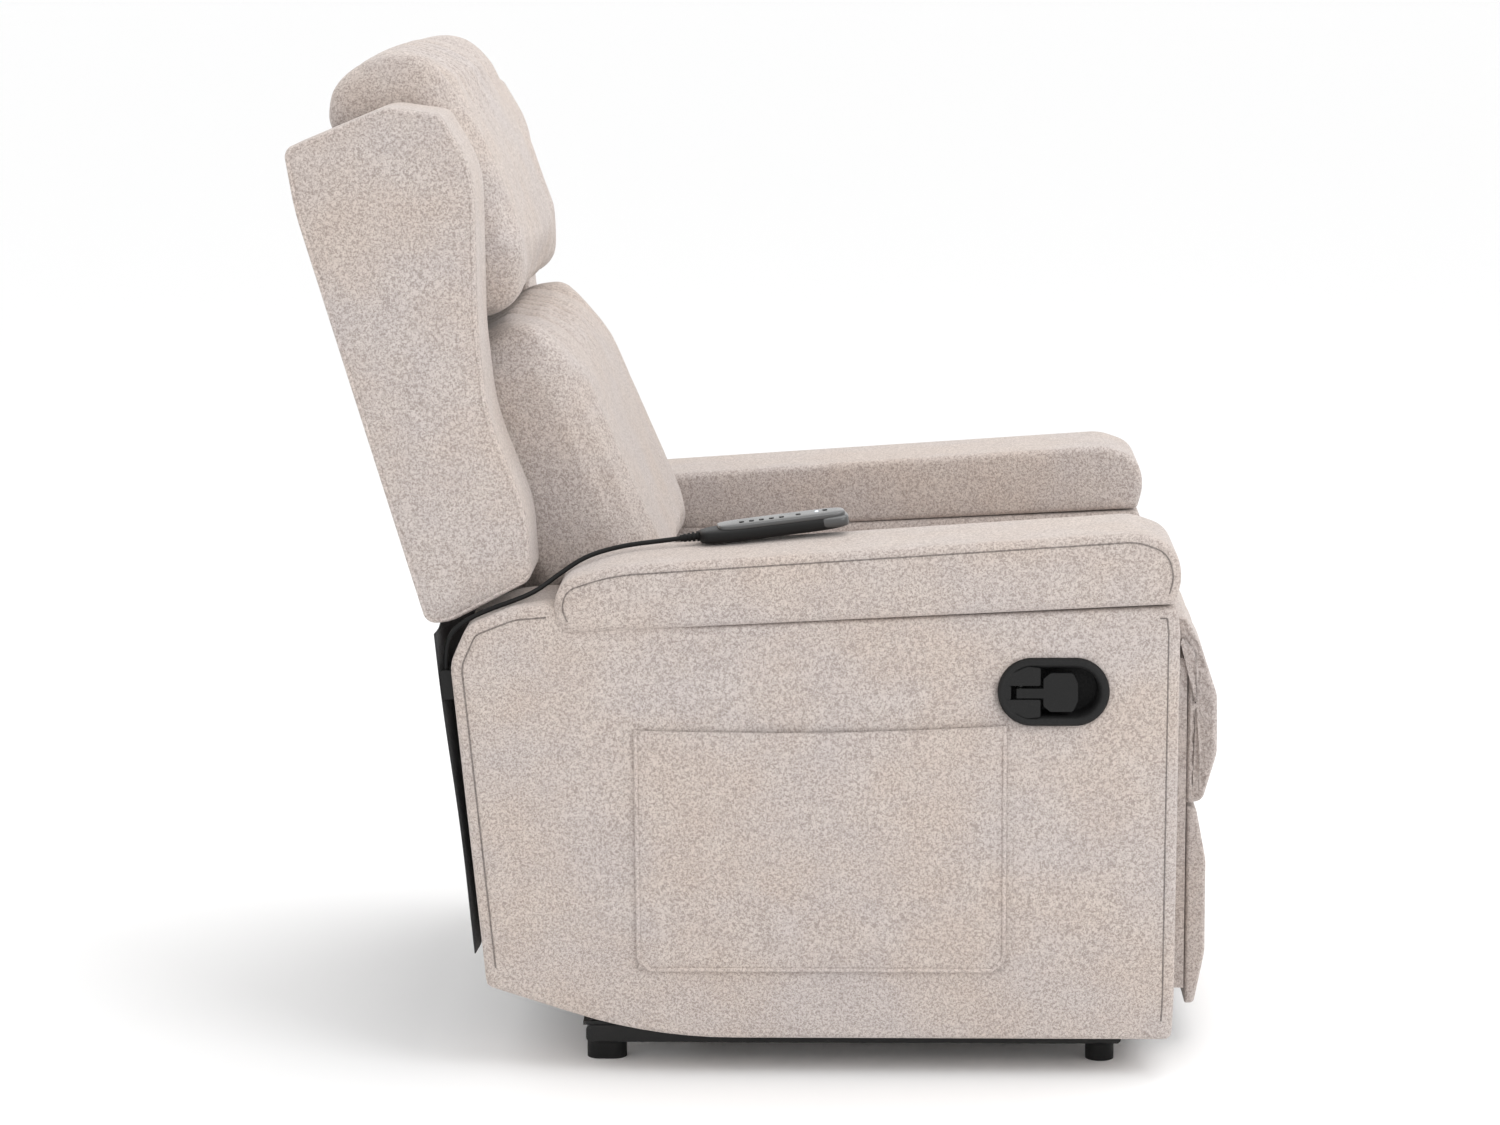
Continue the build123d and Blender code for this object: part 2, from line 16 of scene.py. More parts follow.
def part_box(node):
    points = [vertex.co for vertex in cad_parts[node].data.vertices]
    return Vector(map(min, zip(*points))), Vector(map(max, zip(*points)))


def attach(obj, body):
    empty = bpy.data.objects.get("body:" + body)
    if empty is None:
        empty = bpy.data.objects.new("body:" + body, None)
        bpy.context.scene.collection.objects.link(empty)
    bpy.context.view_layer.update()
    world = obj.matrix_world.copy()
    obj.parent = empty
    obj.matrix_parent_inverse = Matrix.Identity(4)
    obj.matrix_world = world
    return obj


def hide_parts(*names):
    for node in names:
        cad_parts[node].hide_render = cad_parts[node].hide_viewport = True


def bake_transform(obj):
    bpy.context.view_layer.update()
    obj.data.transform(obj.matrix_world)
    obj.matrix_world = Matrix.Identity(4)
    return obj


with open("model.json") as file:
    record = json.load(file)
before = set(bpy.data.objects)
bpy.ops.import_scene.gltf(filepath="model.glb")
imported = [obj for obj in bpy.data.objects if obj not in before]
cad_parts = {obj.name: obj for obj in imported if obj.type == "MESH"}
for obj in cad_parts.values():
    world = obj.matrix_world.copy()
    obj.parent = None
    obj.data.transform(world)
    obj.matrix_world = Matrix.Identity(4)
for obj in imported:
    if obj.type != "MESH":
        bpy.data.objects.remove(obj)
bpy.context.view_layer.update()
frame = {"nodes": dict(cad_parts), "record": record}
print("frame loaded,", len(frame["nodes"]), "nodes")


def span(node):
    """Lowest and highest corner of a frame node, as two arrays."""
    low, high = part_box(node)
    return np.array(low), np.array(high)


# %% [markdown]
# The camera stands at the sitter's right, low and far off, so the side is almost flat.
# Its three axes are written out: right, up and back, each one a column of its matrix.

# %% Camera
camera_data = bpy.data.cameras.new("camera")
camera_data.sensor_width = 36.0
camera_data.lens = 96.48
camera = bpy.data.objects.new("camera", camera_data)
bpy.context.scene.collection.objects.link(camera)
right_axis = np.array([0.99948, 0.03185, -0.00552])
back_axis = np.array([0.03232, -0.98478, 0.17078])
right_axis = right_axis - back_axis * right_axis.dot(back_axis) / back_axis.dot(back_axis)
right_axis = right_axis / np.linalg.norm(right_axis)
back_axis = back_axis / np.linalg.norm(back_axis)
up_axis = np.cross(back_axis, right_axis)
pose = np.eye(4)
pose[:3, 0], pose[:3, 1], pose[:3, 2], pose[:3, 3] = right_axis, up_axis, back_axis, (0.1245, -4.3975, 1.2421)
camera.matrix_world = Matrix(pose.tolist())
bpy.context.scene.camera = camera
print("camera", camera_data.lens, "mm")

# %% [markdown]
# The hand control's cord is a limp rubber lead, 5 mm thick. It leaves the ribbed strain relief,
# lies on the arm pad, drops over the arm's rear and goes down into a gland.
# One smooth spline follows the same listed points as the frame's own tube.

# %% Cord
CORD_DIAMETER = 0.005
cord_points = np.array([
    (-83.5, -275.6, 552.7), (-105.1, -278.7, 550.4), (-131.6, -285, 548.3), (-152.8, -290.5, 544.9),
    (-171, -297, 540.6), (-187, -305, 534.5), (-208, -318, 521.5), (-230, -337, 507), (-254, -351, 499.5),
    (-279, -357, 491.5), (-302, -358, 480.5), (-316.5, -358, 467), (-321.2, -358, 449), (-321.2, -358, 430),
]) / 1000


def spline_curve(name, points, radius):
    """A round lead along a second-order spline that starts and ends at its end points.

    Its points carry the radius, and the bevel depth is 1, because a curve's box grows by the
    radius of its points."""
    data = bpy.data.curves.new(name, "CURVE")
    data.dimensions = "3D"
    spline = data.splines.new("NURBS")
    spline.points.add(len(points) - 1)
    spline.points.foreach_set("co", np.c_[points, np.ones(len(points))].astype(np.float32).ravel())
    spline.points.foreach_set("radius", np.full(len(points), radius, dtype=np.float32))
    spline.order_u = 3
    spline.use_endpoint_u = True
    spline.resolution_u = 12
    data.bevel_depth = 1
    data.bevel_resolution = 5
    data.use_fill_caps = True
    piece = bpy.data.objects.new(name, data)
    bpy.context.scene.collection.objects.link(piece)
    return piece


lead = spline_curve("handset_lead", cord_points, CORD_DIAMETER / 2)
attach(lead, "body")
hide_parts("handset_cord")
print("cord of", len(cord_points), "points")

# %% [markdown]
# Shader maths reads best as plain sums. A small class holds a socket, and + - and * on it add
# Math nodes. One more function adds any other node from its type, settings and inputs.


# %% Shader helpers
class Value:
    """A number socket that can be used in sums."""

    def __init__(self, shader, socket):
        self.shader, self.socket = shader, socket

    def maths(self, operation, first, second):
        return self.shader.node("ShaderNodeMath", {"operation": operation}, {0: first, 1: second})

    def __add__(self, other):
        return self.maths("ADD", self, other)

    def __sub__(self, other):
        return self.maths("SUBTRACT", self, other)

    def __rsub__(self, other):
        return self.maths("SUBTRACT", other, self)

    def __mul__(self, other):
        return self.maths("MULTIPLY", self, other)

    __radd__ = __add__
    __rmul__ = __mul__


class Shader:
    """One material: its nodes are added by the methods below."""

    def __init__(self, name):
        self.material = bpy.data.materials.new(name)
        self.material.use_nodes = True
        self.tree = self.material.node_tree
        self.surface = self.tree.nodes["Principled BSDF"]

    def put(self, socket, value):
        """A link from a Value or socket, or else a constant."""
        if isinstance(value, Value):
            self.tree.links.new(value.socket, socket)
        elif isinstance(value, bpy.types.NodeSocket):
            self.tree.links.new(value, socket)
        else:
            socket.default_value = value

    def node(self, kind, settings=None, inputs=None, output=0):
        """A node of one kind, its settings first and then its inputs; gives one output."""
        node = self.tree.nodes.new(kind)
        for key, value in (settings or {}).items():
            setattr(node, key, value)
        for key, value in (inputs or {}).items():
            self.put(node.inputs[key], value)
        return Value(self, node.outputs[output])

    def place(self):
        """Object coordinates, in metres."""
        return self.node("ShaderNodeTexCoord", output="Object")

    def noise(self, scale, detail=2.0, rough=0.5, where=None, stretch=(1, 1, 1), warp=0.0):
        """Cloudy noise with a scale per metre, stretched along the axes."""
        spot = self.node(
            "ShaderNodeMapping", {"vector_type": "POINT"}, {"Vector": where or self.place(), "Scale": stretch}
        )
        inputs = {"Vector": spot, "Scale": scale, "Detail": detail, "Roughness": rough, "Distortion": warp}
        return self.node("ShaderNodeTexNoise", {}, inputs)

    def ramp(self, value, low, high):
        """0 below low, 1 above high and smooth between."""
        settings = {"interpolation_type": "SMOOTHSTEP"}
        return self.node("ShaderNodeMapRange", settings, {"Value": value, "From Min": low, "From Max": high})

    def mix(self, share, first, second):
        """One colour fading into another."""
        node = self.tree.nodes.new("ShaderNodeMix")
        node.data_type = "RGBA"
        self.put(node.inputs[0], share)
        self.put(node.inputs[6], first)
        self.put(node.inputs[7], second)
        return Value(self, node.outputs[2])

    def bump(self, height, distance, strength=1.0):
        """A normal from a height in its own units, times a distance in metres."""
        inputs = {"Height": height, "Distance": distance, "Strength": strength}
        return self.node("ShaderNodeBump", {}, inputs)

    def finish(self, **sockets):
        """Values and links for the surface's sockets, by their names with _ for a space."""
        for key, value in sockets.items():
            self.put(self.surface.inputs[key.replace("_", " ")], value)
        return self.material


def grey(level, alpha=1.0):
    """An even grey."""
    return (level, level, level, alpha)


# %% [markdown]
# The cover is a chenille: short twisted tufts, so it looks grainy close up and softly clouded
# from afar. Three noises do it: tufts of about 2 mm, finer fibre, and broad warm and cool clouds.
# The tufts also raise the surface a little, and a sheen gives the pile its pale edge.

# %% Chenille
WARM = (0.555, 0.475, 0.425, 1)
COOL = (0.535, 0.482, 0.462, 1)
DEEP = (0.20, 0.160, 0.142, 1)


def chenille(name, tint=1.0):
    """Greige chenille; a tint below 1 darkens it into painted shade, and a tint above 1 lightens it into painted
    highlight.
    """
    cloth = Shader(name)
    tuft = cloth.noise(400, 2.0, 0.62, warp=0.7)
    fibre = cloth.noise(1000, 2.0, 0.6)
    cloud = cloth.noise(7.5, 3.0, 0.55, stretch=(1, 1, 1.3))
    patch = cloth.noise(34, 2.0, 0.6)
    grain = cloth.ramp(tuft * 0.62 + fibre * 0.38, 0.38, 0.60)
    ground = cloth.mix(cloth.ramp(cloud, 0.3, 0.7), tuple(tint * c for c in WARM[:3]) + (1,),
                       tuple(tint * c for c in COOL[:3]) + (1,))
    worn = cloth.mix(cloth.ramp(patch, 0.42, 0.68) * 0.22, ground, (0.64 * tint, 0.58 * tint, 0.53 * tint, 1))
    colour = cloth.mix((1 - grain) * 0.70, worn, tuple(tint * c for c in DEEP[:3]) + (1,))
    height = tuft * 0.75 + fibre * 0.25
    return cloth.finish(
        Base_Color=colour, Roughness=0.94, Normal=cloth.bump(height, 0.0012, 0.8),
        Sheen_Weight=0.35, Sheen_Roughness=0.45, Sheen_Tint=(0.95, 0.9, 0.86, 1),
    )


chenille_cloth = chenille("greige_chenille")
# The piping uses a slightly lighter copy of the cloth: painted highlight on its raised cords.
piping_highlight_cloth = chenille("chenille_piping_highlight", 1.06)
# The seam cords use a much darker copy of the cloth: painted shade of the seam grooves.
seam_groove_shade = chenille("seam_groove_shade", 0.42)
print("chenille ready")

# %% [markdown]
# The other finishes: moulded black plastic with a fine spark-eroded grain, glossy grey plastic,
# rubber, painted steel that has worn a little paler on its high spots, zinc, and plywood.


# %% Other finishes
def plastic(name, level, rough, grain, depth, coat=0.0, shine=0.2):
    """Moulded plastic: a fine grain and a faint cloudiness in its gloss."""
    part = Shader(name)
    fine = part.noise(grain, 2.0, 0.6)
    cloud = part.noise(30, 3.0)
    colour = part.mix(cloud * 0.5, grey(level), grey(level * 1.6))
    return part.finish(
        Base_Color=colour, Roughness=part.ramp(cloud, 0.2, 0.8) * 0.12 + rough,
        Normal=part.bump(fine, depth), Coat_Weight=coat, Specular_IOR_Level=shine,
    )


def painted_steel(name):
    """Satin black paint over steel, with dust and rubbed spots."""
    part = Shader(name)
    rub = part.ramp(part.noise(55, 4.0, 0.65), 0.62, 0.74)
    speck = part.noise(600, 2.0)
    colour = part.mix(rub * 0.35, grey(0.016), (0.16, 0.15, 0.14, 1))
    return part.finish(
        Base_Color=colour, Roughness=rub * 0.15 + 0.36, Normal=part.bump(speck, 0.0002),
        Specular_IOR_Level=0.25,
    )


def plated_steel(name):
    """Zinc plating: brushed along the piece."""
    part = Shader(name)
    brush = part.noise(90, 3.0, 0.6, stretch=(1, 14, 14))
    colour = part.mix(brush, (0.50, 0.50, 0.49, 1), (0.68, 0.68, 0.66, 1))
    return part.finish(
        Base_Color=colour, Metallic=1.0, Roughness=brush * 0.25 + 0.22, Normal=part.bump(brush, 0.0001),
    )


def plywood(name):
    """Poplar plywood with long grain."""
    part = Shader(name)
    grain = part.noise(26, 4.0, 0.6, stretch=(1, 1, 9), warp=0.4)
    colour = part.mix(grain, (0.42, 0.29, 0.17, 1), (0.62, 0.47, 0.31, 1))
    return part.finish(Base_Color=colour, Roughness=0.72, Normal=part.bump(grain, 0.0004))


def backing(name):
    """Dark non-woven backing cloth: faint clouds in its colour and a fine fuzz in its surface."""
    part = Shader(name)
    fuzz = part.noise(700, 3.0, 0.7)
    cloud = part.noise(14, 3.0)
    colour = part.mix(cloud, (0.018, 0.018, 0.020, 1), (0.040, 0.040, 0.043, 1))
    return part.finish(Base_Color=colour, Roughness=0.9, Normal=part.bump(fuzz, 0.0006), Sheen_Weight=0.15)


black_plastic = plastic("black_plastic", 0.009, 0.40, 900, 0.00025)
grained_plastic = plastic("grained_plastic", 0.011, 0.50, 420, 0.0009)
grey_gloss = plastic("grey_gloss", 0.062, 0.16, 200, 0.00003, 0.15, 0.4)
button_plastic = plastic("button_plastic", 0.008, 0.30, 500, 0.00008)
rubber = plastic("soft_rubber", 0.007, 0.52, 700, 0.0002)
steel_paint = painted_steel("black_steel_paint")
zinc = plated_steel("zinc_plate")
ply = plywood("poplar_ply")
dark_cloth = backing("dark_backing")

FRAME_FINISHES = {
    "black_steel": steel_paint, "plated_steel": zinc, "foot_rubber": rubber, "cord_rubber": rubber,
    "black_plastic": black_plastic, "grey_gloss": grey_gloss, "board": ply, "chenille": chenille_cloth,
    "dark_cloth": dark_cloth,
}
lead.data.materials.append(rubber)
for row in frame["record"]["subparts"]:
    node_slots = frame["nodes"][row["node"]].material_slots
    for node_slot in node_slots:
        node_slot.material = FRAME_FINISHES[row["material_slot"]]
frame["nodes"]["footrest_board"].material_slots[0].material = chenille_cloth
for number in range(1, 8):
    frame["nodes"]["button_%d" % number].material_slots[0].material = button_plastic
print("finishes set on the frame's own nodes")

# %% [markdown]
# Padding is drawn as a side outline carried across the chair. The outline is a ring of points
# with rounded corners. Rows of that ring are pulled in near the two sides, so the edge rolls over,
# and shrink to a pole in the middle of each side face. The whole form is one grid.


# %% Outlines and grids
def outline(corners, count, inset=0.0):
    """A closed ring of (x, z) points in metres through (x, z, radius) corners in millimetres.
    Each edge is moved inwards by the inset, and each corner is an arc that touches its two edges.
    Points are shared out by the length of the uncut outline, so rings of any inset match."""
    spots = np.array([c[:2] for c in corners], float)
    ahead = np.roll(spots, -1, 0) - spots
    length = np.linalg.norm(ahead, axis=1)
    ahead = ahead / length[:, None]
    area = np.sum(spots[:, 0] * np.roll(spots[:, 1], -1) - np.roll(spots[:, 0], -1) * spots[:, 1])
    side = np.stack([-ahead[:, 1], ahead[:, 0]], axis=1) * np.sign(area)
    before = np.roll(side, 1, 0)
    moved = spots + inset * (side + before) / (1 + np.sum(side * before, axis=1))[:, None]
    share = np.maximum(1, np.round((count - 8 * len(spots)) * length / length.sum())).astype(int)
    parts = []
    for index, (_, _, radius) in enumerate(corners):
        here, last, following = moved[index], moved[index - 1], moved[(index + 1) % len(spots)]
        one, two = last - here, following - here
        room = 0.48 * min(np.linalg.norm(one), np.linalg.norm(two))
        one, two = one / np.linalg.norm(one), two / np.linalg.norm(two)
        half = math.acos(max(-1.0, min(1.0, one.dot(two)))) / 2
        convex = (one[0] * two[1] - one[1] * two[0]) * area < 0
        radius = max(radius - inset, 2.0) if convex else radius + inset
        reach = min(radius / max(math.tan(half), 1e-6), room)
        radius = reach * math.tan(half)
        middle = here + (one + two) / np.linalg.norm(one + two) * radius / math.sin(half)
        start, end = here + one * reach - middle, here + two * reach - middle
        turn = math.atan2(start[0] * end[1] - start[1] * end[0], start.dot(end))
        angles = np.linspace(0, turn, 8)
        arc = np.stack([
            start[0] * np.cos(angles) - start[1] * np.sin(angles),
            start[0] * np.sin(angles) + start[1] * np.cos(angles),
        ], axis=1)
        parts.append(middle + arc)
    whole = []
    for index, arc in enumerate(parts):
        steps = np.linspace(0, 1, share[index] + 2)[1:-1, None]
        whole += [arc, arc[-1] + steps * (parts[(index + 1) % len(parts)][0] - arc[-1])]
    return np.concatenate(whole) / 1000


def resample(ring, count):
    """The same closed ring with evenly spaced points."""
    loop = np.vstack([ring, ring[:1]])
    step = np.linalg.norm(np.diff(loop, axis=0), axis=1)
    along = np.concatenate([[0], np.cumsum(step)])
    places = np.linspace(0, along[-1], count, endpoint=False)
    return np.stack([np.interp(places, along, loop[:, k]) for k in range(ring.shape[1])], axis=1)


def inward(ring):
    """The unit normals of a closed ring in its plane, pointing to its inside."""
    ahead = np.roll(ring, -1, axis=0) - np.roll(ring, 1, axis=0)
    ahead = ahead / np.maximum(np.linalg.norm(ahead, axis=1, keepdims=True), 1e-9)
    normal = np.stack([-ahead[:, 1], ahead[:, 0]], axis=1)
    area = np.sum(ring[:, 0] * np.roll(ring[:, 1], -1) - np.roll(ring[:, 0], -1) * ring[:, 1])
    return normal if area > 0 else -normal


def grid_piece(name, points, wrap_u=True, wrap_v=False, poles=False, material=None):
    """A mesh from an array of points, rows by columns. Columns wrap if wrap_u, rows if wrap_v,
    and poles closes the first and last row with a fan to one middle point each."""
    rows, columns = points.shape[:2]
    index = np.arange(rows * columns).reshape(rows, columns)
    below = index if wrap_v else index[:-1]
    above = np.roll(index, -1, axis=0) if wrap_v else index[1:]
    if wrap_u:
        quads = np.stack([below, np.roll(below, -1, 1), np.roll(above, -1, 1), above], axis=-1)
    else:
        quads = np.stack([below[:, :-1], below[:, 1:], above[:, 1:], above[:, :-1]], axis=-1)
    faces = quads.reshape(-1, 4).tolist()
    vertices = points.reshape(-1, 3)
    if poles:
        for row, order in ((0, -1), (rows - 1, 1)):
            vertices = np.vstack([vertices, points[row].mean(axis=0)])
            ring = index[row][::order]
            hub = np.full(columns, len(vertices) - 1)
            faces += np.stack([ring, np.roll(ring, -1), hub], axis=1).tolist()
    mesh = bpy.data.meshes.new(name)
    mesh.from_pydata(vertices.tolist(), [], faces)
    mesh.update()
    return mesh_piece(name, mesh, material)


def mesh_piece(name, mesh, material):
    """A mesh made into a smooth, outward-facing piece with one finish."""
    work = bmesh.new()
    work.from_mesh(mesh)
    bmesh.ops.remove_doubles(work, verts=work.verts, dist=1e-6)
    bmesh.ops.recalc_face_normals(work, faces=work.faces)
    work.to_mesh(mesh)
    work.free()
    mesh.shade_smooth()
    piece = bpy.data.objects.new(name, mesh)
    bpy.context.scene.collection.objects.link(piece)
    if material:
        mesh.materials.append(material)
    return piece


def side_rows(low, high, roll, crown=0.002):
    """Rows of a pad from one side to the other, as (pull-in, y, share of the ring's size).
    The edge rolls over a quarter circle of radius roll."""
    quarter = np.linspace(0, math.pi / 2, 7)
    pulls, ys, shares = [], [], []
    for share in (0.12, 0.35, 0.6, 0.8, 0.93):
        pulls.append(roll)
        ys.append(low - crown * (1 - share**2))
        shares.append(share)
    for angle in quarter[::-1]:
        pulls.append(roll * (1 - math.cos(angle)))
        ys.append(low + roll * (1 - math.sin(angle)))
        shares.append(1.0)
    rows = np.array([pulls, ys, shares]).T
    other = rows[::-1].copy()
    other[:, 1] = low + high - other[:, 1]
    count = max(3, int((high - low - 2 * roll) / 0.012))
    middle = np.array([(0, y, 1) for y in np.linspace(low + roll, high - roll, count + 2)[1:-1]])
    return np.vstack([rows, middle, other])


def carried(corners, count, rows):
    """The outline carried across the chair: each row is the outline inset by its pull-in,
    shrunk about its centre, and set at its y."""
    centre = outline(corners, count).mean(axis=0)
    rings = {pull: outline(corners, count, pull * 1000) for pull in np.unique(rows[:, 0])}
    flat = np.array([centre + (rings[pull] - centre) * share for pull, _, share in rows])
    y = np.broadcast_to(rows[:, 1][:, None], flat.shape[:2])
    return np.stack([flat[..., 0], y, flat[..., 1]], axis=-1)


def tube(name, path, radius, material, closed=False, sides=10):
    """A round cord of cloth along a path: a circle in the plane across each step."""
    if closed:
        ahead = np.roll(path, -1, 0) - np.roll(path, 1, 0)
    else:
        ahead = np.gradient(path, axis=0)
    ahead = ahead / np.linalg.norm(ahead, axis=1, keepdims=True)
    across = np.cross(ahead, (0.02, 1.0, 0.01))
    across = across / np.linalg.norm(across, axis=1, keepdims=True)
    other = np.cross(ahead, across)
    angle = np.linspace(0, 2 * math.pi, sides, endpoint=False)
    ring = across[:, None] * np.cos(angle)[None, :, None] + other[:, None] * np.sin(angle)[None, :, None]
    return grid_piece(name, path[:, None] + radius * ring, True, closed, not closed, material)


def dress(piece, body, *nodes, fill=None, slot="chenille"):
    """A finished piece rides on a body, stands for its nodes and prints its name and face count."""
    if body:
        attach(piece, body)
    if nodes:
        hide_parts(*nodes)
    print(piece.name, len(piece.data.polygons), "faces")
    return piece


# %% [markdown]
# The arms are board boxes pulled tight in cloth: an arched bottom, an upright front and a rear that
# rolls over at the top. The right one has a recess for the release latch, so its grid starts at the
# recess floor, climbs its wall and only then spreads over the side.

# %% Arms
ARM_INSIDE, ARM_OUTSIDE = 0.2425, 0.372
LATCH = np.array([0.3015, 0.4105])
arm_corners = [
    (-284, 97, 8), (-114, 42, 900), (426, 42, 8), (428, 90, 60), (430, 470, 60), (427, 499, 8),
    (-60, 478, 200), (-216, 499, 8), (-252, 496, 60), (-298, 478, 26), (-316, 438, 40),
]
RING = 400


def by_angle(ring, centre):
    """The ring's points where rays from a centre meet it, evenly spread over the turn."""
    offset = ring - centre
    angle = np.unwrap(np.arctan2(offset[:, 1], offset[:, 0]))
    if angle[-1] < angle[0]:
        angle, offset = angle[::-1], offset[::-1]
    order = np.argsort(np.mod(angle, 2 * math.pi))
    angle, offset = np.mod(angle, 2 * math.pi)[order], offset[order]
    return angle, offset


def stadium(length, height, count):
    """A closed ring with straight sides and round ends, in metres."""
    half = height / 2
    straight = (length - height) / 2
    angle = np.linspace(0, 2 * math.pi, 720, endpoint=False)
    ring = np.stack([np.cos(angle) * half + np.sign(np.cos(angle)) * straight, np.sin(angle) * half], axis=1)
    return resample(ring, count)


def arm_rows(side):
    """Rows of one arm from the outer side to the inner, each with its own ring of (x, z)."""
    ring = resample(outline(arm_corners, RING * 3), RING * 3)
    angle, offset = by_angle(ring, LATCH)
    spread = np.linspace(0, 2 * math.pi, RING, endpoint=False)
    hole_raw = stadium(0.100, 0.057, RING * 3)
    hole_angle, hole_offset = by_angle(hole_raw, np.zeros(2))
    # even steps along the outer ring, and the matching rays for the recess
    even = resample(offset, RING)
    even_angle = np.mod(np.arctan2(even[:, 1], even[:, 0]), 2 * math.pi)
    hole = np.stack([
        np.interp(even_angle, hole_angle, hole_offset[:, k], period=2 * math.pi) for k in range(2)
    ], axis=1)
    outer = LATCH + even
    normal = inward(outer)
    roll = 0.006
    rows = []
    if side < 0:
        rows += [
            (LATCH + hole * 0.3, 0.3425), (LATCH + hole, 0.3425), (LATCH + hole, 0.360),
            (LATCH + hole, 0.3712),
        ]
    else:
        rows += [(LATCH + hole * 0.2, 0.3738)]
    inner = outer + normal * roll
    for share in (0.04, 0.12, 0.25, 0.4, 0.55, 0.7, 0.82, 0.9, 0.96):
        crown = 0.0022 * (1 - share**3) + ARM_OUTSIDE
        y = crown if side > 0 or share > 0.1 else ARM_OUTSIDE
        rows.append((LATCH + hole * (1 - share) + (inner - LATCH) * share, y))
    for turn in np.linspace(math.pi / 2, 0, 7):
        y = ARM_OUTSIDE - roll * (1 - math.sin(turn))
        rows.append((outer + normal * roll * (1 - math.cos(turn)), y))
    for y in np.linspace(ARM_OUTSIDE - roll, ARM_INSIDE + 0.006, 12)[1:-1]:
        rows.append((outer, y))
    for turn in np.linspace(0, math.pi / 2, 5):
        rows.append((outer + normal * 0.006 * (1 - math.cos(turn)), ARM_INSIDE + 0.006 * (1 - math.sin(turn))))
    for share in (0.8, 0.5, 0.2):
        rows.append((LATCH + (outer + normal * 0.006 - LATCH) * share, ARM_INSIDE))
    return np.array([
        np.stack([flat[:, 0], np.full(RING, side * y), flat[:, 1]], axis=1) for flat, y in rows
    ])


for side, word in ((-1, "right"), (1, "left")):
    arm = grid_piece("arm_cover_" + word, arm_rows(side), poles=True, material=chenille_cloth)
    dress(arm, "body", "arm_box_" + word, "arm_panel_" + word)
    # Thin dark cords along the front and rear seams: painted shade of the seam grooves.
    line = outline(arm_corners, 500, 12.0)
    for part, chosen in (("front", line[line[:, 0] > 0.408]), ("rear", line[line[:, 0] < -0.212])):
        chosen = chosen[chosen[:, 1] > (0.06 if part == "front" else 0.115)]
        path = np.stack([chosen[:, 0], np.full(len(chosen), side * 0.3722), chosen[:, 1]], axis=1)
        dress(tube("arm_seam_%s_%s" % (part, word), path, 0.0009, seam_groove_shade), "body")

# %% [markdown]
# Each arm pad is a thick bolster. Its top panel wraps over the edge and is joined to the side panel
# by a seam, 9 mm in from the edge. The seam is drawn as a thin dark cord laid on the face of the pad: painted
# shade of the seam's groove.

# %% Arm pads
pad_corners = [
    (-198, 471, 5), (424, 501, 6), (432, 530, 70), (423, 562, 45), (386, 575, 60),
    (-150, 540, 240), (-202, 523, 40), (-210, 496, 40),
]
PAD_SEAM_OUT = 0.3782  # the distance of the seam's dark cord, painted shade of its groove, from the middle plane

for side, word in ((-1, "right"), (1, "left")):
    low, high = span("arm_pad_" + word)
    rows = side_rows(low[1] + 0.001, high[1] - 0.001, 0.008, crown=0.002)
    pad_grid = carried(pad_corners, 420, rows)
    pad = grid_piece("arm_bolster_" + word, pad_grid, poles=True, material=chenille_cloth)
    dress(pad, "body", "arm_pad_" + word, fill=0.9)
    line = outline(pad_corners, 420, 9.0)
    line = line[line[:, 1] - 0.471 - 0.048 * (line[:, 0] + 0.198) > 0.012]
    path = np.stack([line[:, 0], np.full(len(line), side * PAD_SEAM_OUT), line[:, 1]], axis=1)
    dress(tube("arm_bolster_seam_" + word, path, 0.0008, seam_groove_shade), "body")

# %% [markdown]
# The wings are deep side panels, stuffed and pulled tight, with a piped edge round the outer face.

# %% Wings
wing_corners = [
    (-343, 474, 14), (-469, 900, 300), (-479, 962, 12), (-374, 1005, 40), (-318, 997, 14), (-285, 940, 110),
    (-284, 780, 400), (-275, 690, 240), (-237, 590, 140), (-233, 520, 16), (-317, 476, 60),
]
for side, word in ((-1, "right"), (1, "left")):
    low, high = span("wing_" + word)
    rows = side_rows(low[1], high[1], 0.010, crown=0.004)
    wing_grid = carried(wing_corners, 440, rows)
    wing = grid_piece("wing_cover_" + word, wing_grid, poles=True, material=chenille_cloth)
    dress(wing, "backrest", "wing_" + word, fill=0.8)
    edge = outline(wing_corners, 440, 3.5)
    y = side * (0.345 - 0.0028)
    path = np.stack([edge[:, 0], np.full(len(edge), y), edge[:, 1]], axis=1)
    # The wing piping takes the lighter copy of the cloth: painted highlight.
    welt = tube("wing_piping_" + word, path, 0.0026, piping_highlight_cloth, closed=True)
    dress(welt, "backrest")

# %% [markdown]
# The head and lumbar cushions are filled soft, so the cloth over them is loose. Pressure in a cloth
# simulation swells them, and pleats gathered into the seams are carried over the top as long
# shallow waves that die out down the face.


